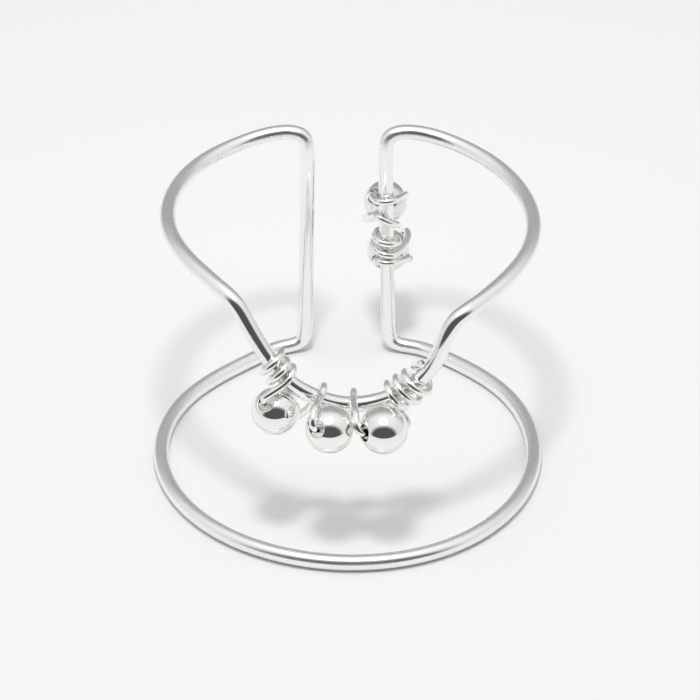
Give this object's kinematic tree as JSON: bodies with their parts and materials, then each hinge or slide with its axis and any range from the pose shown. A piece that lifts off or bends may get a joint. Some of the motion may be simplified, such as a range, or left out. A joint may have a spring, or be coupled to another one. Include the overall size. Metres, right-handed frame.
{
  "type": "nail ring",
  "caption": "Wire ring worn at the fingertip: a finger hoop joined by upright posts to a frame round the nail, with small round beads bound on by thin wire.",
  "frame": {"origin": "centre of the finger hoop, on the plane that the hoop rests on", "axes": "+Z along the finger, from the hoop to the frame round the nail; +Y towards the posts and -Y towards the nail bar; +X to the right as seen from the bar's side"},
  "size_m": [0.0172, 0.0197, 0.0119],
  "materials": {
    "frame_silver": "polished silver wire",
    "binding_silver": "polished thin silver wire",
    "bead_silver": "mirror polished silver"
  },
  "bodies": {
    "root": {"frame_wire": "frame_silver", "front_binding_wire": "binding_silver", "front_bead_left": "bead_silver", "front_bead_middle": "bead_silver", "front_bead_right": "bead_silver", "back_binding_wire": "binding_silver", "back_bead_upper": "bead_silver", "back_bead_lower": "bead_silver"}
  },
  "joints": []
}
